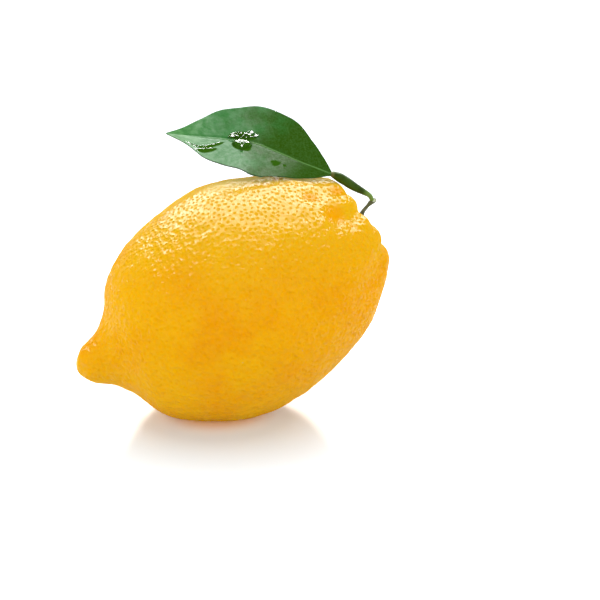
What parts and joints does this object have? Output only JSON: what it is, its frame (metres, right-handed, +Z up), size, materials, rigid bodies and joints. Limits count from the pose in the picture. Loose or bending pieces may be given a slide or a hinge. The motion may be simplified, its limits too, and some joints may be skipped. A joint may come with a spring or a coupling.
{
  "type": "lemon",
  "caption": "Whole ripe lemon lying on its side, with a pointed nipple, a ridged stem end, a short cut twig and a waxy green leaf over its top.",
  "frame": {"origin": "middle of the small flat spot under the fruit, on the surface it rests on", "axes": "+X level, from the nipple towards the stem end, +Z up, +Y to the side that the leaf leans over"},
  "size_m": [0.0834, 0.0615, 0.0774],
  "materials": {
    "rind": "waxy yellow rind with fine oil glands",
    "calyx_green": "dry grey-green button",
    "twig_bark": "thin green bark",
    "stalk_green": "smooth green leaf stalk",
    "leaf_green": "waxy leaf, lighter underneath"
  },
  "bodies": {
    "root": {"fruit": "rind", "calyx": "calyx_green", "stem": "twig_bark", "petiole": "stalk_green", "leaf_blade": "leaf_green"}
  },
  "joints": []
}
